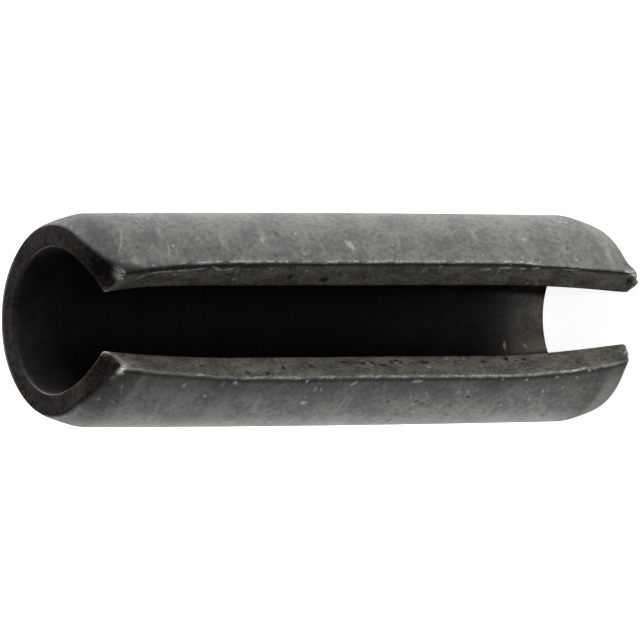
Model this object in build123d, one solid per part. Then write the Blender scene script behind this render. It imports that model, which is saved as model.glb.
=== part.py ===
"""Slotted spring pin: a strip of spring steel rolled into an open tube, with both ends swaged.

The pin stands on its square end, on a table, with its slot facing -Y. The origin is on the table,
where the tube's axis meets it. The pin is drawn lying along X, slot up and square end at +X, with
its middle at the origin, and stood up last. Every length is in millimetres.
"""

import os
from math import asin, cos, radians, sin, sqrt, tan

from build123d import *

# Rolled body
LENGTH = 26.0  # over both ends
DIAMETER = 8.6  # free, before the pin is driven into its 8 mm hole
WALL = 1.4  # thickness of the strip

# Swaged taper that leads each end into the hole
TAPER_LENGTH = 1.4
TAPER_DEPTH = 0.46  # radius lost between the shank and the end face
TAPER_BLEND = 1.5  # radius of the soft corner between the shank and the taper

# Slot
GAP_OUTSIDE = 4.6  # between the outer edges of its two lips
LIP_LEAN = 38.0  # degrees that each lip's face leans away from the slot

# Swaging also draws the lips together, over the last stretch at each end
CLOSING_LENGTH = 5.6
CLOSING_BEND = 20.0  # radius of the soft bend where a lip starts to turn in
END_GAP_OUTSIDE = 3.7  # where the slot meets the end face

# One end is cut square. At the -X end the strip's corners were cut back, so that the lips lean
# away from the end face, starting this far around the ring from the middle of the slot.
LEAN_START = 60.0  # degrees
LIP_SETBACK = 1.0  # at a lip's outer corner

# Broken edges
OUTER_ROUND = 0.16  # around the end faces and along the outside of the lips
INNER_ROUND = 0.08  # along the inside of the lips and around the bore

OVERRUN = 0.5  # how far a cutter reaches past what it cuts
CUT_DEPTH = 0.75  # height over the axis that the slot is cut down to, as a share of the bore's radius
SAME_PLACE = 0.001  # two measures this close are the same

radius = DIAMETER / 2
bore_radius = radius - WALL
half_length = LENGTH / 2
standing = Plane(origin=(0, 0, half_length), x_dir=(0, 0, -1), z_dir=(0, -1, 0))


def tube():
    """The closed ring with its two tapers, turned about X."""
    face_radius = radius - TAPER_DEPTH
    shank_end = half_length - TAPER_LENGTH
    outline = Polyline(
        (-half_length, bore_radius),
        (-half_length, face_radius),
        (-shank_end, radius),
        (shank_end, radius),
        (half_length, face_radius),
        (half_length, bore_radius),
        close=True,
    )
    section = make_face(outline)
    taper_corners = section.vertices().sort_by(Axis.Y)[-2:]
    section = fillet(taper_corners, TAPER_BLEND)
    return revolve(section, axis=Axis.X)


def half_gap(gap_outside, height):
    """Half the slot's width at a height over the axis, where its outer edges are gap_outside apart."""
    outer_y = gap_outside / 2
    outer_height = sqrt(radius**2 - outer_y**2)
    return outer_y - tan(radians(LIP_LEAN)) * (outer_height - height)


def slot_plan(height):
    """The slot seen from above at one height: parallel in the middle, narrowing towards each end."""
    straight = half_length - CLOSING_LENGTH
    cut_end = half_length + OVERRUN
    middle_y = half_gap(GAP_OUTSIDE, height)
    face_y = half_gap(END_GAP_OUTSIDE, height)
    end_y = face_y + (face_y - middle_y) * OVERRUN / CLOSING_LENGTH
    side = [(-cut_end, end_y), (-straight, middle_y), (straight, middle_y), (cut_end, end_y)]
    other_side = [(x, -y) for x, y in reversed(side)]
    plan = make_face(Polyline(*side, *other_side, close=True))
    bends = [corner for corner in plan.vertices() if straight - abs(corner.X) > -SAME_PLACE]
    return Pos(0, 0, height) * fillet(bends, CLOSING_BEND)


def slot():
    """The whole slot, cut down into the bore: its sides are the faces of the two lips."""
    bottom = bore_radius * CUT_DEPTH
    top = radius + OVERRUN
    return loft([slot_plan(bottom), slot_plan(top)], ruled=True)


def lip_trim(side):
    """The wedge that cuts back the lip on one side of the -X end, hinged on a radius of the ring."""
    start = radians(LEAN_START)
    lip_edge = asin(END_GAP_OUTSIDE / 2 / radius)
    slope = LIP_SETBACK / (radius * sin(start - lip_edge))
    hinge = Vector(0, side * sin(start), cos(start))
    towards_slot = Vector(0, -side * cos(start), sin(start))
    face = Plane(origin=(-half_length, 0, 0), x_dir=towards_slot, z_dir=hinge)
    into_pin = face.y_dir.X
    outline = [
        (0, -into_pin * OVERRUN),
        (0, 0),
        (radius, into_pin * slope * radius),
        (radius, -into_pin * OVERRUN),
    ]
    wedge = extrude(face * make_face(Polyline(*outline, close=True)), radius + OVERRUN)
    return split(wedge, bisect_by=Plane(origin=(0, 0, 0), z_dir=(0, side, 0)), keep=Keep.TOP)


def is_soft(edge):
    """Whether the edge is only a bend in one surface: in the taper, a lip's face or an end face."""
    lies_across = edge.bounding_box().size.X < SAME_PLACE
    on_end_face = half_length - abs(edge.center().X) < SAME_PLACE
    around_end_face = on_end_face and edge.geom_type == GeomType.CIRCLE
    return lies_across and not around_end_face


def is_inner(edge):
    """Whether the edge runs along the bore's wall."""
    reach = [sqrt(corner.Y**2 + corner.Z**2) for corner in edge.vertices()]
    return max(reach) < bore_radius + SAME_PLACE


def break_edges(pin):
    """Round every sharp edge, first those outside the bore and then its own."""
    outer = [edge for edge in pin.edges() if not is_soft(edge) and not is_inner(edge)]
    pin = fillet(outer, OUTER_ROUND)
    inner = [edge for edge in pin.edges() if not is_soft(edge) and is_inner(edge)]
    return fillet(inner, INNER_ROUND)


def spring_pin():
    """The finished pin, with its axis on X."""
    pin = tube() - slot() - [lip_trim(side) for side in (-1, 1)]
    return break_edges(pin)


if __name__ == "__main__":
    os.makedirs("parts", exist_ok=True)
    export_step(standing * spring_pin(), "parts/spring_pin.step")
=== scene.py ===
"""A slotted spring pin of blackened steel, standing on its square end on a plain pale floor.

The pin is drawn lying along X with its slot up and its middle at the origin, in millimetres, and is
stood up last. Its near end, at -X there, becomes the top, and its left side, at +Y there, the +X side.
"""

import math
from functools import partial

import bmesh
import bpy
import numpy as np
from mathutils import Matrix, Vector, noise


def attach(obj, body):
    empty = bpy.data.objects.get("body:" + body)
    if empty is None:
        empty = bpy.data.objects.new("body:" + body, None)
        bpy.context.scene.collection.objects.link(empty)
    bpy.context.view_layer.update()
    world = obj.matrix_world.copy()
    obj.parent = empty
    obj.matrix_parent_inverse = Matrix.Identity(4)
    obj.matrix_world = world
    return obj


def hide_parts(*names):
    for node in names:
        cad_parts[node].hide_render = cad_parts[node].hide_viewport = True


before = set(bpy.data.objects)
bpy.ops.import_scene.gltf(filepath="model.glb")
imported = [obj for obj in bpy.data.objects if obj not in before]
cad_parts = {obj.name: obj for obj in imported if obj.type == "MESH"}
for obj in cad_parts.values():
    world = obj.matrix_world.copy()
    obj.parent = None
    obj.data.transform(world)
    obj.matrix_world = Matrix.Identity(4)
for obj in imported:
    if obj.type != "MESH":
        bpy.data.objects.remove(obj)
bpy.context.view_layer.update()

bl_info = {
    "name": "Slotted spring pin",
    "version": (1, 0, 0),
    "blender": (4, 5, 0),
    "location": "3D View > Sidebar > Spring pin",
    "description": "Rolls a slotted spring pin from a strip of steel and sets up a plain studio for it",
    "category": "Add Mesh",
}

MM = 0.001
LIP_SLANT = 1.24  # a lip face's length over the wall it crosses
HALF_LENGTH = 13.0  # of the pin, in millimetres
STRIP_WIDTH = 22.2  # of the blank across the roll, on its outer side, in millimetres

# How finely the blank is divided: cuts along it, across it and through it
CUTS = (279, 129, 11)
# The cells beside a lip are packed together: these distances from it on the blank become these on the ring
PACKED_ON_BLANK = (0.3, 2.7)
PACKED_ON_RING = (0.3, 1.65)

# How the swaging draws each lip in: over the last stretch at an end, by this much and with this
# power of the distance. The left lip is the one at +Y.
CLOSING = {
    ("left", "outer", "near"): (0.34, 1.5),
    ("left", "outer", "far"): (0.39, 1.1),
    ("left", "inner", "near"): (0.26, 3.0),
    ("left", "inner", "far"): (0.31, 2.0),
    ("right", "outer", "near"): (0.44, 1.0),
    ("right", "outer", "far"): (0.60, 1.6),
    ("right", "inner", "near"): (0.30, 1.5),
    ("right", "inner", "far"): (0.46, 1.6),
}
HALF_GAP = {
    ("left", "outer"): 2.304,
    ("left", "inner"): 1.334,
    ("right", "outer"): 2.304,
    ("right", "inner"): 1.454,
}

# How the near end's corners lean back beside the slot, inside and outside: the most, in millimetres,
# the degrees round from the lip where it ends, and its power
CROP = {
    ("left", "inner"): (0.72, 51.0, 1.6),
    ("left", "outer"): (1.22, 33.0, 2.6),
    ("right", "inner"): (0.68, 51.0, 1.6),
    ("right", "outer"): (1.24, 33.0, 1.9),
}
CROP_FADE, CROP_FADE_POWER = 3.2, 1.5  # how far down the pin the lean is eased out
CROP_BOW = 0.26  # how far back the middle of a lip's near end stands behind its corners
CROP_BOW_ENDS = 24.0  # degrees round from the lip

TAPER_CURVE = 1.25  # the power of a taper's profile
RIM_REACH, RIM_DROP = 0.35, 0.05  # the soft turn from a taper into its end face
RIM_LIFT = 0.03  # how far the near end's rim is turned outwards instead, opposite the slot
BACK_FROM, BACK_BLEND = 7.4, 2.2  # how far round from a lip the pin's other side begins, and over how much

# Where the blackening is rubbed off the lips' outer edges: (from, to) along the pin
WORN_STRETCHES = {
    "left": (
        (-9.16, -9.06), (-8.46, -7.75), (-7.56, -7.27), (-6.80, -6.46), (-6.37, -5.75), (-5.61, -5.32),
        (-5.18, -4.70), (-4.60, -4.08), (-3.36, -3.07), (-2.25, -1.57), (-1.50, -1.40), (-1.14, -0.75),
        (-0.27, 0.27), (0.37, 0.50), (0.61, 1.44), (1.59, 1.98), (2.15, 2.27), (2.55, 2.68),
        (2.76, 3.05), (3.18, 3.28), (3.40, 3.50), (3.99, 4.48), (4.63, 4.87), (5.57, 5.76),
        (6.43, 6.81), (7.10, 7.35), (7.55, 7.90),
    ),
    "right": (
        (-8.38, -8.14), (-6.19, -5.23), (-4.71, -3.89), (-3.80, -3.68), (-3.56, -3.45), (-2.49, -2.15),
        (-2.00, -1.92), (-0.60, -0.06), (0.03, 0.37), (0.86, 1.16), (1.30, 1.65), (2.28, 2.48),
        (3.37, 3.66), (4.01, 4.40), (4.75, 6.09), (6.29, 6.78), (7.03, 7.33), (7.63, 7.73),
        (7.93, 8.03), (8.18, 8.28), (8.64, 8.74), (9.19, 10.34), (11.35, 11.45), (11.60, 12.31),
    ),
}
STRETCH_OVERHANG, STRETCH_FADE = 0.10, 0.12  # how far past its ends a stretch reaches, and fades
UNWORN = 0.15  # how bare the edge is between the stretches

# Bare spots on the edges of the lips' ends: (share of the way out through the wall, reach, strength)
WORN_CORNERS = {
    ("left", "near"): ((0.98, 0.13, 2.6), (0.72, 0.13, 2.2), (0.04, 0.08, 0.5)),
    ("right", "near"): ((0.99, 0.10, 2.6), (0.05, 0.12, 0.8), (0.5, 0.12, 0.15)),
    ("left", "far"): ((0.85, 0.10, 0.8), (0.35, 0.22, 0.7)),
    ("right", "far"): ((0.55, 0.25, 0.8),),
}
# Those spots lie this far from the end, within this reach of it and of the lip
SPOT_FROM_END, SPOT_END_REACH, SPOT_LIP_REACH = 0.06, 0.14, 0.17

# Bands beside a lip's outer corner: middle and half width, outwards over the shank or, where
# negative, down over the lip's face
WORN_BAND = {"left": (0.05, 0.06), "right": (-0.04, 0.055)}
WORN_STRENGTH = {"left": 1.0, "right": 0.85}
SKIN = 0.15  # how deep under the corner's faces wear is stored
# DARK_BAND is painted shade: a dark line in the gap under a lip's outer edge. Where it widens on the left
# lip, it is also a dark lap.
DARK_BAND = {"left": (-0.19, 0.11), "right": (0.16, 0.12)}
# The left lip's dark band widens and moves down from this place along the pin, over this length
LAPPED_FROM, LAPPED_OVER, LAPPED_SHIFT, LAPPED_SPREAD = -4.0, 2.0, 0.04, 0.07
# SHADE_BAND is painted shade on the shank beside each lip, strongest beside the right one
SHADE_BAND = {"left": 0.05, "right": 0.50}  # how dark the shank is beside a lip, fading over SHADE_REACH
SHADE_REACH = 0.9
# The painted shade eases off to this share at the near end, from this far and over this length
SHADE_LEAST, SHADE_EASES_AT, SHADE_EASES_OVER = 0.2, 0.8, 1.4

# Soot on the near end right at the rim, and painted shade on its taper, more so away from the lips and on the
# left
SOOT_RIM = 0.25
TAPER_PAINTED_SHADE, TAPER_SHADE_AWAY, TAPER_SHADE_LEFT = 0.20, 0.26, 0.10
TAPER_SHADE_AWAY_FROM, TAPER_SHADE_AWAY_OVER = 0.5, 1.6
TAPER_SHADE_PAST_TAPER, TAPER_SHADE_FADE = 0.3, 0.8
# Painted highlights on the near end's rim: along its inner edge, and along its outer one opposite the slot
INNER_RIM_HIGHLIGHT, INNER_RIM_DEPTH, INNER_RIM_SHARE = 0.03, 0.24, 0.2
OUTER_RIM_HIGHLIGHT, OUTER_RIM_FROM, OUTER_RIM_OVER = 0.5, 0.77, 0.12
OUTER_RIM_DEPTH, OUTER_RIM_FULL, OUTER_RIM_CLEAN = 0.08, 1.6, 0.9

# The lips' outer edges wander: (depth, size of the bumps, place in the noise). They also chip.
EDGE_WANDER = ((0.022, 0.9, 0), (0.016, 0.22, 2))
CHIP_DEPTH, CHIP_SIZE, CHIP_PLACE, CHIP_LEVEL = 0.05, 0.4, 5, 0.45
EDGE_SEEDS = (3.1, 8.7)  # for the left lip and the right one
NOISE_PLANE, NOISE_GAIN = 0.37, 1.6
EDGE_REACH, EDGE_SINK = 0.16, 0.6  # how far round the corner that reaches, and how far down it goes

# A face of the blank belongs to an end or a lip where its normal leans this far that way, and also
# to a lip where it leans less than this towards the bore or the outside
FACES_END, FACES_BORE = 0.8, 0.3

# The torn ends of the lips at the far end: (how far they stand out, share of the wall, length)
BURRS = {"left": (0.87, 0.48, 0.45), "right": (0.44, 0.58, 0.42)}
BURR_REACH, BURR_WALL, BURR_POWER = 0.45, 0.66, 1.5  # from the lip, half its share of the wall, its rise
TEAR_DEPTH, TEAR_SIZE = 0.45, 0.21
FAR_CROP = {"left": 0.0, "right": 0.24}  # how far back a lip's outer corner stands at the far end
FAR_CROP_FADE, FAR_CROP_ENDS = 2.0, 55.0  # how far down the pin, and how many degrees round


class PinSizes(bpy.types.PropertyGroup):
    """The sizes of the strip and of the pin that is rolled from it, in millimetres"""

    length: bpy.props.FloatProperty(
        name="Length", description="Over both end faces, in millimetres", default=26.0, min=1.0
    )
    diameter: bpy.props.FloatProperty(
        name="Diameter", description="Across the shank at its taper, in millimetres", default=8.53, min=1.0
    )
    barrel: bpy.props.FloatProperty(
        name="Barrel",
        description="How much the middle's radius exceeds the ends', in millimetres",
        default=0.065,
    )
    wall: bpy.props.FloatProperty(
        name="Wall", description="Thickness of the strip, in millimetres", default=1.4, min=0.1
    )
    taper_length: bpy.props.FloatProperty(
        name="Taper length", description="Of each swaged end, in millimetres", default=1.5, min=0.0
    )
    taper_depth: bpy.props.FloatProperty(
        name="Taper depth",
        description="Radius lost at each end face, in millimetres",
        default=0.40,
        min=0.0,
    )
    edge_round: bpy.props.FloatProperty(
        name="Edge rounding",
        description="Along all the strip's edges, in millimetres",
        default=0.13,
        min=0.01,
    )
    closing_length: bpy.props.FloatProperty(
        name="Closing length",
        description="Over which the slot narrows to an end, in millimetres",
        default=6.5,
        min=0.1,
    )


class PinFinish(bpy.types.PropertyGroup):
    """The colours of the blackened steel"""

    shank_dark: bpy.props.FloatVectorProperty(
        name="Shank, dark",
        description="Darker patches of the blackened shank",
        subtype="COLOR",
        default=(0.138, 0.138, 0.130),
    )
    shank_light: bpy.props.FloatVectorProperty(
        name="Shank, light",
        description="Lighter patches of the blackened shank",
        subtype="COLOR",
        default=(0.222, 0.233, 0.207),
    )
    stain: bpy.props.FloatVectorProperty(
        name="Stain",
        description="Brown and violet stains in the blackening",
        subtype="COLOR",
        default=(0.10, 0.075, 0.075),
    )
    lip: bpy.props.FloatVectorProperty(
        name="Lip faces",
        description="Sheared faces of the two lips",
        subtype="COLOR",
        default=(0.119, 0.113, 0.095),
    )
    end_face: bpy.props.FloatVectorProperty(
        name="End faces",
        description="Cropped end faces",
        subtype="COLOR",
        default=(0.0162, 0.0142, 0.0132),
    )
    # This colour also paints the highlights on the near end's rims
    bright: bpy.props.FloatVectorProperty(
        name="Bare steel and painted highlights",
        description="Where the blackening has worn through",
        subtype="COLOR",
        default=(0.56, 0.58, 0.53),
    )


# ---------------- shape of the rolled strip


def blank_strip(sizes, width):
    """A flat strip with rounded edges, finely divided: X along it, Y across it, Z through it."""
    mesh = bmesh.new()
    bmesh.ops.create_cube(mesh, size=1.0)
    bmesh.ops.scale(mesh, vec=(sizes.length, width, sizes.wall), verts=mesh.verts)
    bmesh.ops.bevel(
        mesh,
        geom=mesh.edges[:],
        affect="EDGES",
        offset=sizes.edge_round,
        offset_type="OFFSET",
        segments=3,
        profile=0.5,
        material=-1,
    )
    for axis, cuts in enumerate(CUTS):
        long_edges = [edge for edge in mesh.edges if edge_span(edge, axis) > 3 * sizes.edge_round]
        bmesh.ops.subdivide_edges(mesh, edges=long_edges, cuts=cuts, use_grid_fill=True)
    return mesh


def edge_span(edge, axis):
    """How far an edge reaches along one axis."""
    start, end = (corner.co for corner in edge.verts)
    return abs(start[axis] - end[axis])


def ease(value):
    """The value, held between 0 and 1."""
    return np.clip(value, 0.0, 1.0)


def bell(value, middle, reach):
    """1 at the middle, falling off softly within about the given reach of it."""
    return np.exp(-(((value - middle) / reach) ** 2))


def by_side(place):
    """Each side of the slot: its name, its way along Y and which points lie on it."""
    left = place[:, 1] > 0
    return (("left", 1, left), ("right", -1, ~left))


def lip_reach(away, half_width):
    """Turns the distance from a lip on the blank into that on the outside of the ring, in millimetres.

    The blank's cells are all alike, and this packs them closely beside the lips, where most is seen.
    """
    return np.interp(away, (0.0, *PACKED_ON_BLANK, half_width), (0.0, *PACKED_ON_RING, half_width))


def half_gap(side, surface, x, sizes):
    """Half the slot's width along the pin, in millimetres."""
    straight = sizes.length / 2 - sizes.closing_length
    closing = np.zeros_like(x)
    for end, where in (("near", x < 0), ("far", x >= 0)):
        depth, power = CLOSING[side, surface, end]
        share = np.clip((np.abs(x) - straight) / sizes.closing_length, 0.0, None)
        closing = np.where(where, depth * share**power, closing)
    return HALF_GAP[side, surface] - closing


def opposite_slot(from_lip):
    """From 0 beside the slot to 1 on the pin's other side."""
    return ease((from_lip - BACK_FROM) / BACK_BLEND)


def outer_radius(x, from_lip, sizes):
    """The outside's radius: slightly barrelled along the pin, with a taper at each end."""
    half = sizes.length / 2
    shank = sizes.diameter / 2 + sizes.barrel * (1 - (x / half) ** 2)
    into_taper = np.clip(np.abs(x) - (half - sizes.taper_length), 0.0, None) / sizes.taper_length
    rim = np.clip(np.abs(x) - (half - RIM_REACH), 0.0, None) / RIM_REACH
    drop = RIM_DROP - (RIM_DROP + RIM_LIFT) * opposite_slot(from_lip) * (x < 0)
    return shank - sizes.taper_depth * into_taper**TAPER_CURVE - drop * rim**2


def roll(mesh, sizes, width):
    """Rolls the blank round the X axis, with its edges meeting at the slot on top.

    Gives each point's place, its distance from the lip and its share of the way out through the wall.
    """
    place = np.array([corner.co for corner in mesh.verts])
    x, across, through = place[:, 0], place[:, 1], place[:, 2]
    wall_share = 0.5 - through / sizes.wall
    from_lip = lip_reach(width / 2 - np.abs(across), width / 2)
    reach = from_lip / (width / 2)
    outside = outer_radius(x, from_lip, sizes)
    inside = sizes.diameter / 2 + sizes.barrel - sizes.wall
    rolled = np.zeros_like(place)
    for side, sign, on_side in by_side(place):
        outer_lip = np.arcsin(half_gap(side, "outer", x, sizes) / outside)
        inner_lip = np.arcsin(half_gap(side, "inner", x, sizes) / inside)
        outer_turn = outer_lip + (math.pi - outer_lip) * reach
        inner_turn = inner_lip + (math.pi - inner_lip) * reach
        y = wall_share * outside * np.sin(outer_turn) + (1 - wall_share) * inside * np.sin(inner_turn)
        z = wall_share * outside * np.cos(outer_turn) + (1 - wall_share) * inside * np.cos(inner_turn)
        rolled[on_side] = np.stack([x, y * sign, z], axis=1)[on_side]
    return rolled, from_lip, wall_share


def reach_round_corner(from_lip, wall_share, sizes):
    """Distance round a lip's outer corner: over the shank, or, where negative, down the lip's face."""
    return from_lip - (1 - wall_share) * sizes.wall * LIP_SLANT


def crop_near_end(place, from_lip, wall_share, sizes):
    """Leans the lips back from the end face at -X."""
    turn = np.degrees(from_lip / (sizes.diameter / 2))
    back = CROP_BOW * 4 * wall_share * (1 - wall_share) * ease(1 - turn / CROP_BOW_ENDS) ** 2
    for side, _, on_side in by_side(place):
        for surface, share in (("inner", 1 - wall_share), ("outer", wall_share)):
            most, ends_at, power = CROP[side, surface]
            back += on_side * share * most * ease(1 - turn / ends_at) ** power
    from_end = place[:, 0] + sizes.length / 2
    place[:, 0] += back * ease(1 - from_end / CROP_FADE) ** CROP_FADE_POWER


def crop_far_end(place, from_lip, wall_share, sizes):
    """Takes the lips' outer corners back a little from the end face at +X."""
    turn = np.degrees(from_lip / (sizes.diameter / 2))
    from_end = sizes.length / 2 - place[:, 0]
    fade = ease(1 - from_end / FAR_CROP_FADE) * ease(1 - turn / FAR_CROP_ENDS) * wall_share
    for side, _, on_side in by_side(place):
        place[:, 0] -= np.where(on_side, FAR_CROP[side] * fade, 0.0)


def roughness_along(x, size, seed):
    """An even unevenness along the pin, from -1 to 1, with bumps of about the given size."""
    spots = (Vector((value / size, seed, NOISE_PLANE)) for value in x)
    return np.array([noise.noise(spot) for spot in spots]) * NOISE_GAIN


def roughen_edges(place, corner_reach):
    """Makes the lips' outer edges wander and chip a little, as a sheared strip's do."""
    near_corner = bell(corner_reach, 0.0, EDGE_REACH)
    for seed, (_, sign, on_side) in zip(EDGE_SEEDS, by_side(place)):
        x = place[:, 0]
        wander = sum(depth * roughness_along(x, size, seed + step) for depth, size, step in EDGE_WANDER)
        chips = np.clip(roughness_along(x, CHIP_SIZE, seed + CHIP_PLACE) - CHIP_LEVEL, 0.0, None) * CHIP_DEPTH
        shift = np.where(on_side, near_corner * (wander + chips), 0.0)
        place[:, 1] += sign * shift
        place[:, 2] -= EDGE_SINK * shift


def raise_burrs(place, from_lip, wall_share, sizes):
    """The torn lump at the far end of the left lip, and its smaller match on the right one."""
    torn = 1.0 + TEAR_DEPTH * np.array([noise.noise(Vector(spot) / TEAR_SIZE) for spot in place])
    beside_lip = bell(from_lip, 0.0, BURR_REACH)
    lift = np.zeros(len(place))
    for side, _, on_side in by_side(place):
        out, middle, reach = BURRS[side]
        in_wall = ease(1 - ((wall_share - middle) / BURR_WALL) ** 2)
        at_end = ease(1 - (sizes.length / 2 - place[:, 0]) / reach) ** BURR_POWER
        lift += on_side * out * beside_lip * in_wall * at_end * torn
    place[:, 2] += lift


def worn_stretches(side, x):
    """From UNWORN to 1: how bare a lip's outer edge is along the pin."""
    bare = np.zeros_like(x)
    for start, stop in WORN_STRETCHES[side]:
        past_end = np.abs(x - (start + stop) / 2) - (stop - start) / 2
        bare = np.maximum(bare, ease((STRETCH_OVERHANG - past_end) / STRETCH_FADE))
    return UNWORN + (1 - UNWORN) * bare


def worn_spots(side, from_ends, from_lip, wall_share):
    """How bare the edges of a lip's two ends are."""
    bare = np.zeros_like(from_lip)
    for end, from_end in from_ends.items():
        end_edge = bell(from_end, SPOT_FROM_END, SPOT_END_REACH) * bell(from_lip, 0.0, SPOT_LIP_REACH)
        for share, reach, strength in WORN_CORNERS[side, end]:
            bare = np.maximum(bare, strength * end_edge * bell(wall_share, share, reach))
    return bare


def dark_beside_lip(side, corner_reach, x, from_near):
    """How dark the painted shade line along a lip's outer corner is, also a dark lap where it widens on the
    left, with the painted shade on the shank beside it.
    """
    middle, half = DARK_BAND[side]
    lapped = ease((LAPPED_FROM - x) / LAPPED_OVER) * (side == "left")
    line = bell(corner_reach, middle - LAPPED_SHIFT * lapped, half + LAPPED_SPREAD * lapped)
    shade = SHADE_BAND[side] * bell(corner_reach, 0.0, SHADE_REACH) * (corner_reach > 0)
    eased = np.clip((from_near - SHADE_EASES_AT) / SHADE_EASES_OVER, SHADE_LEAST, 1.0)
    return np.maximum(line, shade * eased)


def soot_and_shade_on_end(place, from_lip, from_near, sizes):
    """How sooty the near end's rim is, and how much painted shade lies on its taper."""
    rim = ease(1 - from_near / SOOT_RIM)
    away = ease((from_lip - TAPER_SHADE_AWAY_FROM) / TAPER_SHADE_AWAY_OVER)
    on_taper = ease((sizes.taper_length + TAPER_SHADE_PAST_TAPER - from_near) / TAPER_SHADE_FADE)
    return np.maximum(rim, (TAPER_PAINTED_SHADE + TAPER_SHADE_AWAY * away + TAPER_SHADE_LEFT * (place[:, 1] > 0)) * on_taper)


def mark_edges(mesh, place, from_lip, wall_share, sizes):
    """Stores how worn each point is, with painted highlights on the near end's rims, how dark it is from the
    painted shade beside the lips, and its soot and painted shade on the near end.
    """
    layers = [mesh.verts.layers.float.new(name) for name in ("wear_and_rim_highlight", "dark_line", "end_soot_and_shade")]
    bare, dark, spots = np.zeros((3, len(place)))
    corner_reach = reach_round_corner(from_lip, wall_share, sizes)
    x = place[:, 0]
    from_ends = {"near": sizes.length / 2 + x, "far": sizes.length / 2 - x}
    on_corner = bell(np.minimum(from_lip, (1 - wall_share) * sizes.wall), 0.0, SKIN)
    for side, _, on_side in by_side(place):
        band = WORN_STRENGTH[side] * bell(corner_reach, *WORN_BAND[side]) * on_corner
        bare[on_side] = (band * worn_stretches(side, x))[on_side]
        spots[on_side] = worn_spots(side, from_ends, from_lip, wall_share)[on_side]
        # dark holds the painted shade line and band beside each lip
        dark[on_side] = dark_beside_lip(side, corner_reach, x, from_ends["near"])[on_side]
    # Painted highlights along the near end's inner rim and, opposite the slot, its outer rim
    inner_rim = ease(1 - from_ends["near"] / INNER_RIM_DEPTH) * ease(1 - wall_share / INNER_RIM_SHARE)
    outer_rim = ease((wall_share - OUTER_RIM_FROM) / OUTER_RIM_OVER) * opposite_slot(from_lip)
    outer_rim *= ease(OUTER_RIM_FULL - from_ends["near"] / OUTER_RIM_DEPTH)
    rim_highlight = np.maximum(INNER_RIM_HIGHLIGHT * inner_rim, OUTER_RIM_HIGHLIGHT * outer_rim)
    soot_and_shade = soot_and_shade_on_end(place, from_lip, from_ends["near"], sizes)
    soot_and_shade *= (1 - OUTER_RIM_CLEAN * outer_rim) * (1 - ease(spots))
    wear_and_highlight = np.maximum(np.maximum(bare, spots), rim_highlight)
    for vertex, *values in zip(mesh.verts, wear_and_highlight, dark, soot_and_shade):
        for layer, value in zip(layers, values):
            vertex[layer] = value


def stand_up(place, sizes):
    """From the lying pin, in millimetres, to the standing one, in metres."""
    x, y, z = place.T
    return np.stack([y, -z, sizes.length / 2 - x], axis=1) * MM


def mesh_object(name, mesh):
    """Puts a bmesh into the scene as a smooth object."""
    data = bpy.data.meshes.new(name)
    mesh.to_mesh(data)
    mesh.free()
    data.shade_smooth()
    piece = bpy.data.objects.new(name, data)
    bpy.context.scene.collection.objects.link(piece)
    return piece


class RollPin(bpy.types.Operator):
    """Roll the pin from a flat strip"""

    bl_idname = "spring_pin.roll"
    bl_label = "Roll the pin"

    def execute(self, context):
        sizes = context.scene.spring_pin_sizes
        mesh = blank_strip(sizes, STRIP_WIDTH)
        mesh.normal_update()
        for face in mesh.faces:
            face.material_index = region(face.normal)
        place, *in_wall = roll(mesh, sizes, STRIP_WIDTH)
        mark_edges(mesh, place, *in_wall, sizes)
        roughen_edges(place, reach_round_corner(*in_wall, sizes))
        for shape in (crop_near_end, crop_far_end, raise_burrs):
            shape(place, *in_wall, sizes)
        for corner, spot in zip(mesh.verts, stand_up(place, sizes)):
            corner.co = spot
        bmesh.ops.recalc_face_normals(mesh, faces=mesh.faces)
        piece = mesh_object("rolled_pin", mesh)
        groups = shader_groups()
        for finish in (shank_steel, bore_steel, lip_steel, end_steel):
            piece.data.materials.append(finish(groups, context.scene.spring_pin_finish))
        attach(piece, "root")
        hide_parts("spring_pin")
        return {"FINISHED"}


def region(normal):
    """Which finish a face of the blank takes: 0 outside, 1 bore, 2 lip, 3 end."""
    if abs(normal.x) > FACES_END:
        return 3
    if abs(normal.y) > FACES_END or abs(normal.z) < FACES_BORE:
        return 2
    return 1 if normal.z > 0 else 0


# ---------------- finishes


def add_node(tree, kind, values=(), **settings):
    """Adds a node with its settings, and gives each named or numbered input a value or a link."""
    node = tree.nodes.new(kind)
    for key, value in settings.items():
        setattr(node, key, value)
    for key, value in dict(values).items():
        if isinstance(value, bpy.types.NodeSocket):
            tree.links.new(value, node.inputs[key])
        else:
            node.inputs[key].default_value = value
    return node


def work_out(tree, operation, *values, clamp=False):
    """One step of arithmetic on values or outputs."""
    settings = {"operation": operation, "use_clamp": clamp}
    return add_node(tree, "ShaderNodeMath", enumerate(values), **settings).outputs[0]


def times(tree, value, factor, plus=None, clamp=False):
    """The product of two values or outputs, and what is added to it."""
    if plus is None:
        return work_out(tree, "MULTIPLY", value, factor)
    return work_out(tree, "MULTIPLY_ADD", value, factor, plus, clamp=clamp)


def less(tree, value, other):
    """The difference of two values or outputs."""
    return work_out(tree, "SUBTRACT", value, other)


def larger(tree, value, other, clamp=False):
    """The larger of two values or outputs."""
    return work_out(tree, "MAXIMUM", value, other, clamp=clamp)


def ramp(tree, value, start, stop, low=0.0, high=1.0):
    """A smooth step of a value from low at start to high at stop."""
    inputs = {"Value": value, "From Min": start, "From Max": stop, "To Min": low, "To Max": high}
    return add_node(tree, "ShaderNodeMapRange", inputs, interpolation_type="SMOOTHSTEP").outputs[0]


def between(tree, distance, start, stop, low=0.0, high=1.0):
    """A ramp between two places on the pin, in millimetres."""
    return ramp(tree, distance, start * MM, stop * MM, low, high)


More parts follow.
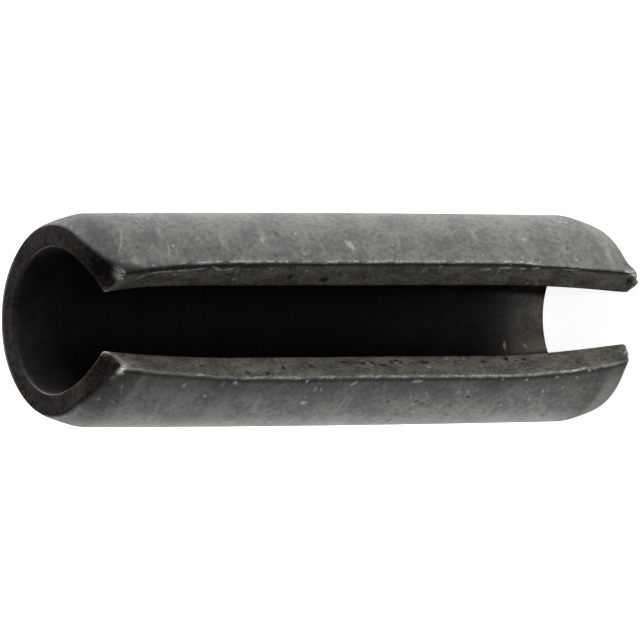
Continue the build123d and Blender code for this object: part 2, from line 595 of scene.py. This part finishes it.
def blend(tree, share, first, second):
    """A mix of two colours or outputs."""
    values = {0: share}
    for key, value in ((6, first), (7, second)):
        values[key] = value if isinstance(value, bpy.types.NodeSocket) else (*tuple(value)[:3], 1)
    return add_node(tree, "ShaderNodeMix", values, data_type="RGBA").outputs[2]


def speckle(tree, place, size, detail=4.0, roughness=0.6):
    """Noise with features of about the given size in millimetres."""
    inputs = {"Vector": place, "Scale": 1 / (size * MM), "Detail": detail, "Roughness": roughness}
    return add_node(tree, "ShaderNodeTexNoise", inputs).outputs["Fac"]


def start_group(name, inputs, outputs):
    """An empty node group; inputs and outputs give each socket's name and kind, and come back by name."""
    group = bpy.data.node_groups.new(name, "ShaderNodeTree")
    for way, sockets in (("INPUT", inputs), ("OUTPUT", outputs)):
        for label, kind in sockets.items():
            group.interface.new_socket(label, in_out=way, socket_type="NodeSocket" + kind)
    return group, group.nodes.new("NodeGroupInput").outputs, group.nodes.new("NodeGroupOutput").inputs


def fill_group(tree, group, values):
    """Places a node group with its inputs; its outputs come back by name."""
    return add_node(tree, "ShaderNodeGroup", values, node_tree=group).outputs


# The blackening's patches are longer, by this factor, along a line at this many degrees to the radius
PATCH_LEAN = 33.7
PATCH_STRETCH = 1.5
# The sizes of its parts, in millimetres, the streaks' share of the patches and the grain's depth
CLOUD_SIZE, STREAK_SIZE, GRAIN_SIZE, STAIN_SIZE = 1.1, 0.20, 0.075, 0.6
STREAK_SHARE, GRAIN_DEPTH = 0.55, 0.8

# Each of these edges says from where to where a noise or a distance shows
PATCH_EDGE, STAIN_EDGE, FLECK_EDGE = (0.375, 0.625), (0.53, 0.68), (0.34, 0.16)
SCRATCH_EDGE, STRETCH_EDGE, FRAY_EDGE, MARK_EDGE = (0.60, 0.76), (0.52, 0.66), (0.36, 0.60), (1.35, 0.25)

# The flecks' outlines are bent by this much, in bends of this size, in millimetres
FLECK_WARP, FLECK_WARP_SIZE = 0.12, 0.12
# Scratches are this fine and this far apart, in millimetres, and longer by the squash's inverse
SCRATCH_SIZE, SCRATCH_SPACING, SCRATCH_SQUASH = 0.10, 0.7, 0.13
# The size of what frays the marks and the worn edges, in millimetres, and how much it frays a mark
RAGGED_SIZE, FRAY_SIZE, MARK_FRAY = 0.14, 0.10, 2.4


def blackening_group():
    """Patchy black oxide: two depths of colour, brown and violet stains, and a fine grain."""
    colours = dict.fromkeys(("Dark", "Light", "Stain"), "Color")
    group, taken, given = start_group(
        "Patchy blackening",
        {"Place": "Vector", "Stain amount": "Float", **colours},
        {"Colour": "Color", "Patches": "Float", "Grain": "Float"},
    )
    place = taken["Place"]
    turn = (0.0, math.radians(-PATCH_LEAN), 0.0)
    lean = {"Vector": place, "Rotation": turn, "Scale": (1.0, 1.0, PATCH_STRETCH)}
    leaning = add_node(group, "ShaderNodeMapping", lean, vector_type="TEXTURE").outputs[0]
    clouds = speckle(group, leaning, CLOUD_SIZE, detail=3.0, roughness=0.55)
    streaks = speckle(group, leaning, STREAK_SIZE, detail=4.0, roughness=0.58)
    grain = speckle(group, place, GRAIN_SIZE, detail=2.0, roughness=0.7)
    cloudy = times(group, clouds, 1 - STREAK_SHARE)
    patches = ramp(group, times(group, streaks, STREAK_SHARE, cloudy), *PATCH_EDGE)
    rough = less(group, grain, 0.5)
    speckled = times(group, rough, GRAIN_DEPTH, patches)
    tone = larger(group, work_out(group, "MINIMUM", speckled, 1.0), 0.0)
    base = blend(group, tone, taken["Dark"], taken["Light"])
    stains = ramp(group, speckle(group, place, STAIN_SIZE, detail=5.0, roughness=0.65), *STAIN_EDGE)
    stained = blend(group, times(group, stains, taken["Stain amount"]), base, taken["Stain"])
    group.links.new(stained, given["Colour"])
    group.links.new(patches, given["Patches"])
    group.links.new(grain, given["Grain"])
    return group


def fleck_group():
    """Small bright flecks and dark pits, where the blackening is knocked off or pitted."""
    group, taken, given = start_group(
        "Flecks and pits",
        {"Place": "Vector", "Size": "Float", "Share": "Float"},
        {"Flecks": "Float", "Pits": "Float"},
    )
    scale = work_out(group, "DIVIDE", 1 / MM, taken["Size"])
    noisy = {"Vector": taken["Place"], "Scale": 1 / (FLECK_WARP_SIZE * MM), "Detail": 1.0}
    warp = add_node(group, "ShaderNodeTexNoise", noisy).outputs["Color"]
    centred = {0: warp, 1: (0.5, 0.5, 0.5)}
    shift = add_node(group, "ShaderNodeVectorMath", centred, operation="SUBTRACT").outputs[0]
    warped = {0: shift, 1: [FLECK_WARP * MM] * 3, 2: taken["Place"]}
    nudged = add_node(group, "ShaderNodeVectorMath", warped, operation="MULTIPLY_ADD").outputs[0]
    cells = add_node(group, "ShaderNodeTexVoronoi", {"Vector": nudged, "Scale": scale})
    parts = add_node(group, "ShaderNodeSeparateColor", {0: cells.outputs["Color"]})
    shape = ramp(group, cells.outputs["Distance"], *FLECK_EDGE)
    chosen = work_out(group, "LESS_THAN", parts.outputs[0], taken["Share"])
    pitted = work_out(group, "LESS_THAN", parts.outputs[1], taken["Share"])
    strength = times(group, parts.outputs[2], chosen)
    group.links.new(times(group, shape, strength), given["Flecks"])
    group.links.new(times(group, shape, pitted), given["Pits"])
    return group


def scratch_group():
    """Fine handling scratches round the pin, broken into short stretches."""
    group, taken, given = start_group(
        "Fine scratches", {"Place": "Vector", "Amount": "Float"}, {"Scratches": "Float"}
    )
    squash = {"Vector": taken["Place"], "Scale": (1.0, SCRATCH_SQUASH, SCRATCH_SQUASH)}
    squeezed = add_node(group, "ShaderNodeMapping", squash).outputs[0]
    lines = ramp(group, speckle(group, squeezed, SCRATCH_SIZE, detail=1.0, roughness=0.4), *SCRATCH_EDGE)
    stretches = ramp(group, speckle(group, taken["Place"], SCRATCH_SPACING, detail=2.0), *STRETCH_EDGE)
    shown = times(group, times(group, lines, stretches), taken["Amount"])
    group.links.new(shown, given["Scratches"])
    return group


def mark_group():
    """One knock or stain: an oval with a ragged edge, round a given place in the plane of the slot."""
    lengths = ("Along", "Across", "Middle along", "Middle across", "Half length", "Half width")
    sockets = dict.fromkeys((*lengths, "Turn", "Ragged"), "Float")
    group, taken, given = start_group("Single mark", sockets, {"Mark": "Float"})
    cosine, sine = work_out(group, "COSINE", taken["Turn"]), work_out(group, "SINE", taken["Turn"])
    along = less(group, taken["Along"], taken["Middle along"])
    across = less(group, taken["Across"], taken["Middle across"])
    turned = times(group, along, cosine)
    lengthways = less(group, turned, times(group, across, sine))
    sideways = times(group, along, sine, times(group, across, cosine))
    lengthways = work_out(group, "POWER", work_out(group, "DIVIDE", lengthways, taken["Half length"]), 2.0)
    sideways = work_out(group, "POWER", work_out(group, "DIVIDE", sideways, taken["Half width"]), 2.0)
    far = work_out(group, "SQRT", work_out(group, "ADD", lengthways, sideways))
    ragged = times(group, taken["Ragged"], MARK_FRAY, far)
    group.links.new(ramp(group, ragged, *MARK_EDGE), given["Mark"])
    return group


def shader_groups():
    """The effects that the finishes share, made once."""
    blackening, flecks, scratches = blackening_group(), fleck_group(), scratch_group()
    return {"blackening": blackening, "flecks": flecks, "scratches": scratches, "mark": mark_group()}


# Knocks, scratches, stains and the bore's painted glints, as seen from straight above the lying pin:
# (x, y, half length, half width), in millimetres, and how many degrees it is turned, if it is
SHANK_KNOCKS = (
    (-6.59, -2.49, 0.1, 0.08), (-0.79, 2.99, 0.23, 0.16, -25), (-2.84, -3.32, 0.19, 0.09, -10),
    (10.6, -2.11, 0.09, 0.07), (2.2, -2.5, 0.26, 0.07, 3), (-3.17, -2.46, 0.08, 0.06),
    (-2.63, -2.77, 0.1, 0.045, 90), (-2.32, -2.79, 0.07, 0.04, 90), (-7.74, -3.01, 0.06, 0.05),
    (-12.4, -3.09, 0.08, 0.05), (-0.88, -2.56, 0.2, 0.05, 20), (2.27, -3.14, 0.06, 0.05),
    (2.55, -3.43, 0.07, 0.05), (2.92, -3.74, 0.06, 0.05), (7.6, -2.46, 0.08, 0.06),
    (9.1, -2.37, 0.06, 0.05), (8.7, -2.94, 0.06, 0.05), (8.21, -3.27, 0.06, 0.05),
    (4.95, -2.95, 0.06, 0.05), (9.6, -2.79, 0.07, 0.05), (10.09, -2.4, 0.07, 0.05),
    (-3.1, 3.47, 0.05, 0.06), (8.0, 3.27, 0.07, 0.06), (5.48, 2.59, 0.05, 0.04), (7.38, 2.53, 0.05, 0.04),
    (10.64, 4.0, 0.08, 0.06), (10.88, 3.96, 0.08, 0.06), (11.86, 2.47, 0.09, 0.06),
    (10.08, 2.43, 0.09, 0.05), (8.23, 2.33, 0.07, 0.04), (-11.73, -2.6, 0.16, 0.05, 90),
    (-4.9, 3.21, 0.12, 0.05, 90), (-12.15, -2.24, 0.12, 0.09), (-11.86, -2.08, 0.14, 0.06),
    (-10.56, 2.19, 0.07, 0.05),
)
SHANK_SMUDGES = (
    (7.87, 3.35, 0.34, 0.24), (-9.53, 3.46, 0.34, 0.12, 60), (-11.34, 2.33, 0.3, 0.16, 20),
    (9.69, 2.82, 0.3, 0.18), (11.87, 2.7, 0.34, 0.16, 60), (-2.6, 3.4, 0.34, 0.1, 60),
    (-4.7, 3.4, 0.4, 0.14, 70), (1.6, 3.1, 0.36, 0.12, 60), (5.6, 3.4, 0.4, 0.16, 70),
    (-11.22, 2.38, 0.16, 0.1), (-6.8, 3.2, 0.36, 0.12, 60), (-9.6, -3.6, 0.4, 0.16, 110),
    (-5.0, -3.4, 0.36, 0.14, 110),
)
SHANK_SCRATCHES = (
    (-11.54, 3.14, 0.64, 0.055, 56), (-9.49, 3.54, 0.32, 0.05, 53), (-9.56, 2.78, 0.32, 0.05, 69),
    (-6.7, 3.04, 0.28, 0.04, 59), (-4.78, 3.29, 0.37, 0.045, 61), (-2.2, 2.85, 0.36, 0.04, 83),
    (-0.89, -3.4, 0.3, 0.03, 90), (-0.64, -3.4, 0.26, 0.03, 90), (0.97, 3.87, 0.25, 0.03, -20),
    (-11.75, -2.73, 0.26, 0.05, 113), (-11.85, -3.19, 0.28, 0.04, 149),
)
SHANK_PITS = (
    (1.22, -3.29, 0.1, 0.08), (2.62, -3.3, 0.11, 0.05), (3.03, -3.41, 0.1, 0.05, 15),
    (5.1, -3.16, 0.1, 0.07), (9.71, -3.96, 0.08, 0.06), (8.01, 2.39, 0.07, 0.04, 90),
    (8.17, 2.41, 0.07, 0.04, 90), (0.3, 2.33, 0.19, 0.07), (2.25, -4.1, 0.09, 0.08),
    (-0.81, 2.99, 0.1, 0.06, -25),
)
SHANK_STAINS = (
    (2.96, 2.67, 0.26, 0.12), (-4.01, 3.53, 0.24, 0.14, 90), (11.44, 3.17, 0.22, 0.18),
    (7.81, 3.56, 0.24, 0.14), (-10.2, 3.3, 0.8, 0.35), (-7.3, -2.6, 0.6, 0.16), (6.3, -2.7, 0.9, 0.2),
    (4.2, 3.1, 0.8, 0.3, 10), (-12.35, 3.47, 0.6, 0.3, 60),
)
LIP_KNOCKS = (
    (-4.11, -1.59, 0.07, 0.05), (4.18, -1.6, 0.06, 0.04), (5.01, -1.61, 0.07, 0.04),
    (1.59, -1.72, 0.06, 0.03), (3.0, -1.94, 0.11, 0.04), (-6.3, 1.63, 0.06, 0.05),
    (-6.31, 1.97, 0.1, 0.05, 20), (-5.8, 2.03, 0.1, 0.05), (-4.74, 2.05, 0.08, 0.04),
    (-3.05, 1.97, 0.07, 0.05), (2.65, 1.96, 0.14, 0.035, 90), (3.38, 2.15, 0.08, 0.04),
    (8.15, 1.47, 0.08, 0.06), (8.63, 1.43, 0.08, 0.06), (-9.24, 1.83, 0.08, 0.05),
    (-10.46, 2.16, 0.07, 0.05), (6.38, 1.96, 0.11, 0.04, 90),
)
LIP_FOLDS = (
    (-10.89, 1.73, 0.34, 0.05, 22), (-10.34, 1.89, 0.3, 0.04, 9), (-9.74, 1.94, 0.36, 0.035, 2),
    (-9.01, 1.98, 0.45, 0.035, 3), (-8.24, 2.05, 0.4, 0.03, 7), (-7.37, 2.06, 0.34, 0.045, -16),
    (-6.78, 2.04, 0.34, 0.045, 11), (5.73, 2.03, 0.27, 0.05), (6.68, 2.09, 0.34, 0.045, 1),
    (7.46, 2.05, 0.17, 0.045), (8.09, 2.07, 0.22, 0.045, 1), (9.79, 2.01, 0.46, 0.025, -3),
)
LIP_PITS = (
    (-4.02, -1.9, 0.1, 0.084), (-2.63, -1.83, 0.12, 0.084), (-5.89, -2.1, 0.14, 0.056),
    (-4.94, -2.11, 0.12, 0.056), (-0.93, -1.7, 0.36, 0.049, -3), (-0.02, -1.75, 0.14, 0.07, 8),
    (0.41, -1.73, 0.16, 0.056, -25), (0.9, -1.83, 0.26, 0.049), (1.35, -1.71, 0.09, 0.098),
    (1.63, -1.66, 0.22, 0.049), (1.85, -1.73, 0.08, 0.084), (2.96, -1.72, 0.28, 0.07),
    (7.09, -1.61, 0.15, 0.07), (7.94, -1.64, 0.11, 0.07), (-3.65, 1.73, 0.14, 0.09),
    (-1.94, 1.6, 0.2, 0.12), (-7.9, -1.8, 0.1, 0.056), (5.9, -1.72, 0.12, 0.056),
    (12.78, 1.5, 0.3, 0.05, 90), (12.7, -1.48, 0.28, 0.05, 80),
)
# Painted highlights: warm glints painted into the bore near the foot
BORE_GLINTS = ((10.84, -1.18, 0.2, 0.06, 80), (11.9, -1.18, 0.17, 0.055, -42))

# How strongly the scattered flecks and pits show
SHANK_FLECKS, SHANK_SMALL_PITS, LIP_FLECKS = 0.4, 0.6, 0.35

# Where painted light or shade comes in, along or across the pin: (from, to, and its least and most)
# Painted shade: the shank darkens towards the near end
SHANK_SHADE_ALONG = (9.0, -10.0, 0.0, 0.30)
# Painted light on the shank: on the far taper's facet beside the right lip, and along the right flank where
# light grazes it
FOOT_PAINTED_LIGHT = (11.4, 11.95)
SIDE_PAINTED_LIGHT, FLANK_PAINTED_LIGHT = (-2.0, -3.0, 0.22, 0.60), (-3.7, -4.33, 0.0, 0.22)
# In the bore: painted light towards the foot, a paler tone towards the mouth, and a painted light patch on
# the foot's lower side
FOOT_PALES, MOUTH_PALES = (8.0, 13.0), (-9.0, -12.8)
FOOT_LIT_PATCH = (-0.5, -1.7, 0.0, 0.7)

# Colours that only one finish uses
# The colour of the painted shade towards the near end
SHANK_SHADE_TONE = (0.02, 0.02, 0.02)
# Pits, and the painted shade line and band beside the lips, take this colour
SHANK_PIT_AND_SHADE = (0.03, 0.028, 0.03)
# The bore's near black is painted shade, much darker than its blackening
BORE_DARK = (0.002, 0.002, 0.002)
BORE_LIGHT = (0.006, 0.006, 0.006)
BORE_STAIN = (0.008, 0.005, 0.004)
# Painted light at the bore's foot, where light comes in at the open end, and a paler patch on its lower side
BORE_FOOT = ((0.058, 0.053, 0.046), (0.105, 0.098, 0.088))
BORE_FOOT_LIT_PATCH = (0.26, 0.235, 0.195)
BORE_MOUTH = ((0.014, 0.012, 0.011), (0.028, 0.025, 0.022))
# The colour of the painted glints
BORE_GLINT = (0.70, 0.60, 0.45)
LIP_STAIN = (0.05, 0.036, 0.026)
# Pits, and the painted shade line under the lips' edges, take this colour
LIP_PIT_AND_SHADE = (0.012, 0.010, 0.009)
END_STAIN = (0.036, 0.023, 0.018)


def begin_finish(name, metallic, specular=0.5):
    """A new material with its Principled shader, and the place on the pin as it was drawn lying."""
    material = bpy.data.materials.new(name)
    material.use_nodes = True
    tree = material.node_tree
    stood = add_node(tree, "ShaderNodeTexCoord").outputs["Object"]
    x, y, z = add_node(tree, "ShaderNodeSeparateXYZ", {0: stood}).outputs
    lying = (less(tree, HALF_LENGTH * MM, z), x, times(tree, y, -1.0))
    place = add_node(tree, "ShaderNodeCombineXYZ", enumerate(lying)).outputs[0]
    shader = tree.nodes["Principled BSDF"]
    shader.inputs["Metallic"].default_value = metallic
    shader.inputs["Specular IOR Level"].default_value = specular
    return material, tree, shader, place


def worn(tree, name):
    """How strongly an attribute of the mesh shows."""
    return add_node(tree, "ShaderNodeAttribute", attribute_name=name).outputs["Fac"]


def ragged_edge(tree, place):
    """A fine unevenness about 0, which frays the marks."""
    return less(tree, speckle(tree, place, RAGGED_SIZE, detail=3.0), 0.5)


def frayed_edge(tree, place):
    """The worn edges and spots, with the painted highlights on the near end's rims, broken up finely."""
    fray = ramp(tree, speckle(tree, place, FRAY_SIZE, detail=3.0), *FRAY_EDGE)
    return times(tree, worn(tree, "wear_and_rim_highlight"), fray)


def all_marks(tree, place, groups, ragged, marks, strength=1.0, half=1.0):
    """The strongest of a list of single marks at each point, on the pin's slotted half or its other (-1)."""
    along, across, height = add_node(tree, "ShaderNodeSeparateXYZ", {0: place}).outputs
    shown = 0.0
    for x, y, half_length, half_width, *turn in marks:
        values = {"Along": along, "Across": across, "Turn": math.radians(-sum(turn)), "Ragged": ragged}
        middle = {"Middle along": x * MM, "Middle across": y * MM}
        halves = {"Half length": half_length * MM, "Half width": half_width * MM}
        mark = fill_group(tree, groups["mark"], {**values, **middle, **halves})
        shown = larger(tree, mark["Mark"], shown)
    in_half = work_out(tree, "GREATER_THAN", times(tree, height, half), 0.0)
    return times(tree, times(tree, shown, in_half), strength)


def blacken(tree, groups, place, dark, light, stain, stained):
    """The patchy blackening in its three colours; its outputs come back by name."""
    values = {"Place": place, "Stain amount": stained}
    values |= {"Dark": (*dark, 1), "Light": (*light, 1), "Stain": (*stain, 1)}
    return fill_group(tree, groups["blackening"], values)


def finish_surface(tree, shader, colour, roughness, height, depth):
    """Feeds the Principled shader, with the relief through a Bump node; its depth is in millimetres."""
    tree.links.new(colour, shader.inputs["Base Color"])
    tree.links.new(roughness, shader.inputs["Roughness"])
    bump = add_node(tree, "ShaderNodeBump", {"Height": height, "Distance": depth * MM, "Strength": 1.0})
    tree.links.new(bump.outputs[0], shader.inputs["Normal"])


def shank_steel(groups, colours):
    """The blackened outside of the shank and tapers, with worn edges and handling marks."""
    material, tree, shader, place = begin_finish("Blackened shank", metallic=0.7)
    black = blacken(tree, groups, place, colours.shank_dark, colours.shank_light, colours.stain, stained=0.34)
    flecks = fill_group(tree, groups["flecks"], {"Place": place, "Size": 0.32, "Share": 0.045})
    scratches = fill_group(tree, groups["scratches"], {"Place": place, "Amount": 0.16})["Scratches"]
    show = partial(all_marks, tree, place, groups, ragged_edge(tree, place))
    knocks = show(SHANK_KNOCKS, strength=0.5)
    strokes = show(SHANK_SCRATCHES, strength=0.20)
    smudges = show(SHANK_SMUDGES, strength=0.13)
    pits = show(SHANK_PITS)
    stains = show(SHANK_STAINS, strength=0.5)
    bare = times(tree, flecks["Flecks"], SHANK_FLECKS)
    for more in (frayed_edge(tree, place), knocks, strokes, smudges, scratches):
        bare = larger(tree, bare, more, clamp=True)
    dark = larger(tree, worn(tree, "dark_line"), times(tree, flecks["Pits"], SHANK_SMALL_PITS))
    dark = larger(tree, dark, pits, clamp=True)
    along, across = add_node(tree, "ShaderNodeSeparateXYZ", {0: place}).outputs[:2]
    # Painted light: the far taper's facet and the right flank made paler
    beside = between(tree, across, *SIDE_PAINTED_LIGHT)
    foot = times(tree, between(tree, along, *FOOT_PAINTED_LIGHT), beside)
    painted_light = larger(tree, foot, between(tree, across, *FLANK_PAINTED_LIGHT))
    soot_and_shade = worn(tree, "end_soot_and_shade")
    colour = blend(tree, stains, black["Colour"], colours.stain)
    # Painted shade, darker towards the near end
    colour = blend(tree, between(tree, along, *SHANK_SHADE_ALONG), colour, SHANK_SHADE_TONE)
    # The painted light lifts the shank towards twice its light colour
    colour = blend(tree, painted_light, colour, [2 * value for value in colours.shank_light])
    # Painted shade: the dark line under the lips' edges and the band beside them, mixed with the pits
    colour = blend(tree, dark, colour, SHANK_PIT_AND_SHADE)
    colour = blend(tree, bare, colour, colours.bright)
    # Soot at the near end's rim and painted shade on its taper, in the end faces' colour
    colour = blend(tree, soot_and_shade, colour, colours.end_face)
    smooth = ramp(tree, black["Patches"], 0, 1, 0.42, 0.34)
    roughness = times(tree, black["Grain"], 0.16, smooth)
    roughness = times(tree, soot_and_shade, 0.4, roughness, clamp=True)
    height = times(tree, black["Patches"], 0.35, black["Grain"])
    height = less(tree, height, times(tree, dark, 1.2))
    finish_surface(tree, shader, colour, roughness, height, depth=0.012)
    return material


def bore_steel(groups, colours):
    """The inside of the tube: near black with a dull brown tinge as painted shade, paler at the mouth, and
    paler still at the foot as painted light, with painted glints there.
    """
    material, tree, shader, place = begin_finish("Blackened bore", metallic=0.3, specular=0.15)
    black = blacken(tree, groups, place, BORE_DARK, BORE_LIGHT, BORE_STAIN, stained=0.5)
    along, across = add_node(tree, "ShaderNodeSeparateXYZ", {0: place}).outputs[:2]
    # Painted light towards the foot, with a paler patch on the lower side
    foot = blend(tree, black["Patches"], *BORE_FOOT)
    foot = blend(tree, between(tree, across, *FOOT_LIT_PATCH), foot, BORE_FOOT_LIT_PATCH)
    at_foot = work_out(tree, "POWER", between(tree, along, *FOOT_PALES), 3.0)
    colour = blend(tree, at_foot, black["Colour"], foot)
    # A paler tone towards the mouth, out of the painted shade
    mouth = blend(tree, black["Patches"], *BORE_MOUTH)
    colour = blend(tree, between(tree, along, *MOUTH_PALES), colour, mouth)
    show = partial(all_marks, tree, place, groups, ragged_edge(tree, place))
    # Painted highlights: warm glints near the foot
    glints = show(BORE_GLINTS, strength=0.30, half=-1.0)
    colour = blend(tree, glints, colour, BORE_GLINT)
    # Worn edges, and the painted highlight along the near end's inner rim
    colour = blend(tree, worn(tree, "wear_and_rim_highlight"), colour, colours.bright)
    roughness = times(tree, black["Grain"], 0.15, 0.5)
    finish_surface(tree, shader, colour, roughness, black["Grain"], depth=0.012)
    return material


def lip_steel(groups, colours):
    """The sheared faces of the lips: browner, with torn pits and pale scuffs."""
    material, tree, shader, place = begin_finish("Sheared lip", metallic=0.7)
    lip = Vector(colours.lip)
    torn = add_node(tree, "ShaderNodeMapping", {"Vector": place, "Scale": (1.2, 2.0, 2.0)}).outputs[0]
    black = blacken(tree, groups, torn, lip * 0.55, lip * 1.5, LIP_STAIN, stained=0.6)
    flecks = fill_group(tree, groups["flecks"], {"Place": place, "Size": 0.26, "Share": 0.06})
    show = partial(all_marks, tree, place, groups, ragged_edge(tree, place))
    knocks = show(LIP_KNOCKS, strength=0.42)
    folds = show(LIP_FOLDS, strength=0.50)
    bare = times(tree, flecks["Flecks"], LIP_FLECKS)
    for more in (frayed_edge(tree, place), knocks, folds):
        bare = larger(tree, bare, more, clamp=True)
    dark = larger(tree, worn(tree, "dark_line"), flecks["Pits"])
    dark = larger(tree, dark, show(LIP_PITS), clamp=True)
    # Painted shade: the dark line under the lip's outer edge, mixed with the pits
    colour = blend(tree, dark, black["Colour"], LIP_PIT_AND_SHADE)
    colour = blend(tree, bare, colour, colours.bright)
    roughness = times(tree, black["Grain"], 0.2, 0.42)
    height = less(tree, black["Grain"], times(tree, dark, 1.5))
    finish_surface(tree, shader, colour, roughness, height, depth=0.02)
    return material


def end_steel(groups, colours):
    """The cropped end faces: almost black, rough, with a brown tinge."""
    material, tree, shader, place = begin_finish("Cropped end", metallic=0.1, specular=0.03)
    face = Vector(colours.end_face)
    black = blacken(tree, groups, place, face * 0.4, face * 1.7, END_STAIN, stained=0.9)
    # Worn edges, and the painted highlight along the near end's outer rim
    edge = times(tree, worn(tree, "wear_and_rim_highlight"), 0.7)
    colour = blend(tree, edge, black["Colour"], colours.bright)
    roughness = times(tree, black["Grain"], 0.2, 0.7)
    finish_surface(tree, shader, colour, roughness, black["Grain"], depth=0.045)
    return material


class LayStage(bpy.types.Operator):
    """Lay the pale floor and set the camera and the lamps"""

    bl_idname = "spring_pin.stage"
    bl_label = "Lay the stage"

    def execute(self, context):
        floor = pale_floor()
        set_camera(context.scene)
        set_lamps()
        set_world(context.scene)
        context.scene.view_settings.view_transform = "Standard"
        return {"FINISHED"}


# The floor: half its width in metres, its paint, and the glow that lifts it to white for the camera alone
FLOOR_REACH, FLOOR_GREY, FLOOR_GLOW = 1.5, 0.8, 0.9


def pale_floor():
    """A wide floor that the camera sees as white, while it lights the pin no more than pale paint does."""
    mesh = bmesh.new()
    bmesh.ops.create_grid(mesh, x_segments=1, y_segments=1, size=FLOOR_REACH)
    floor = mesh_object("floor", mesh)
    material = bpy.data.materials.new("Pale floor")
    material.use_nodes = True
    tree = material.node_tree
    shader = tree.nodes["Principled BSDF"]
    shader.inputs["Base Color"].default_value = (FLOOR_GREY, FLOOR_GREY, FLOOR_GREY, 1)
    shader.inputs["Roughness"].default_value = 0.9
    shader.inputs["Emission Color"].default_value = (1, 1, 1, 1)
    seen = add_node(tree, "ShaderNodeLightPath").outputs["Is Camera Ray"]
    tree.links.new(times(tree, seen, FLOOR_GLOW), shader.inputs["Emission Strength"])
    floor.data.materials.append(material)
    return floor


# The camera looks at the slot from above the pin, turned so that the pin lies across the view.
CAMERA_TILT = 33.679  # degrees from straight down
CAMERA_YAW = -0.512
CAMERA_ROLL = -0.244
CAMERA_DISTANCE = 342.3  # millimetres from the middle of the pin's axis
CAMERA_LENS, CAMERA_SENSOR = 473.94, 36.0  # in millimetres
CAMERA_SHIFT = (-0.00573, -0.00119)
CAMERA_REACH = (0.01, 10.0)  # metres, the nearest and farthest that it sees


def set_camera(scene):
    """Places the camera from its angles on the lying pin, and stands it up with the pin."""
    camera = bpy.data.objects.new("Camera", bpy.data.cameras.new("Camera"))
    scene.collection.objects.link(camera)
    camera.data.sensor_width = CAMERA_SENSOR
    camera.data.lens = CAMERA_LENS
    camera.data.shift_x, camera.data.shift_y = CAMERA_SHIFT
    camera.data.clip_start, camera.data.clip_end = CAMERA_REACH
    yaw = Matrix.Rotation(math.radians(CAMERA_YAW), 3, "X")
    tilt = math.radians(CAMERA_TILT)
    back = yaw @ Vector((-math.sin(tilt), 0, math.cos(tilt)))
    up = yaw @ Vector((0, 1, 0))
    turn = Matrix.Rotation(math.radians(CAMERA_ROLL), 3, back)
    lying_axes = Matrix((turn @ up.cross(back), turn @ up, back)).transposed()
    stand = Matrix(((0, 1, 0), (0, 0, -1), (-1, 0, 0)))
    middle = Vector((0, 0, HALF_LENGTH))
    place = Matrix.Translation((middle + stand @ back * CAMERA_DISTANCE) * MM)
    camera.matrix_world = place @ (stand @ lying_axes).to_4x4()
    scene.camera = camera


# The studio's lamps: place and width in metres, power in watts
LAMPS = (
    ("Key softbox", (0.17, 0.19, 0.10), 0.16, 1.4),
    ("Side softbox", (-0.20, 0.16, 0.06), 0.14, 0.52),
    ("Fill softbox", (0.20, -0.10, 0.05), 0.14, 0.35),
)
SNOOT_PLACE, SNOOT_POWER = (0.01, -0.22, 0.02), 1.7
SNOOT_ANGLE = 3.8  # degrees across its whole beam, which lights the pin's foot and the bore there
SNOOT_RADIUS = 0.006
SKY_STRENGTH = 0.22


def set_lamps():
    """Soft lamps behind and beside the pin, so that its sides are lighter than what faces the camera."""
    for name, place, width, power in LAMPS:
        lamp = bpy.data.lights.new(name, "AREA")
        lamp.size = width
        lamp.energy = power
        hang_lamp(lamp, place, (0, 0, HALF_LENGTH * MM))
    snoot = bpy.data.lights.new("Snoot", "SPOT")
    snoot.energy = SNOOT_POWER
    snoot.spot_size = math.radians(SNOOT_ANGLE)
    snoot.spot_blend = 1.0
    snoot.shadow_soft_size = SNOOT_RADIUS
    hang_lamp(snoot, SNOOT_PLACE, (0, 0, 0))


def hang_lamp(lamp, place, target):
    """Puts a lamp in its place and turns it to what it lights."""
    piece = bpy.data.objects.new(lamp.name, lamp)
    bpy.context.scene.collection.objects.link(piece)
    piece.location = place
    piece.rotation_euler = (Vector(target) - piece.location).to_track_quat("-Z", "Y").to_euler()


def set_world(scene):
    """A plain sky that fills the shadows, and shows as white behind the floor."""
    world = bpy.data.worlds.new("Studio")
    world.use_nodes = True
    scene.world = world
    tree = world.node_tree
    seen = add_node(tree, "ShaderNodeLightPath").outputs["Is Camera Ray"]
    strength = times(tree, seen, 1 - SKY_STRENGTH, SKY_STRENGTH)
    sky = tree.nodes["Background"]
    sky.inputs["Color"].default_value = (1, 1, 1, 1)
    tree.links.new(strength, sky.inputs["Strength"])


class SpringPinPanel(bpy.types.Panel):
    """The pin's sizes, its finish and the steps that make it"""

    bl_idname = "VIEW3D_PT_spring_pin"
    bl_label = "Spring pin"
    bl_space_type = "VIEW_3D"
    bl_region_type = "UI"
    bl_category = "Spring pin"

    def draw(self, context):
        column = self.layout.column()
        for group in (context.scene.spring_pin_sizes, context.scene.spring_pin_finish):
            for key in type(group).__annotations__:
                column.prop(group, key)
        column.operator(RollPin.bl_idname)
        column.operator(LayStage.bl_idname)


CLASSES = (PinSizes, PinFinish, RollPin, LayStage, SpringPinPanel)


def register():
    """Adds the classes, and the pin's sizes and finish, to Blender."""
    for each in CLASSES:
        bpy.utils.register_class(each)
    bpy.types.Scene.spring_pin_sizes = bpy.props.PointerProperty(type=PinSizes)
    bpy.types.Scene.spring_pin_finish = bpy.props.PointerProperty(type=PinFinish)


def unregister():
    """Takes them away again."""
    del bpy.types.Scene.spring_pin_finish
    del bpy.types.Scene.spring_pin_sizes
    for each in reversed(CLASSES):
        bpy.utils.unregister_class(each)


def main():
    """Makes the pin and its stage."""
    register()
    bpy.ops.spring_pin.roll()
    bpy.ops.spring_pin.stage()


if __name__ == "__main__":
    main()
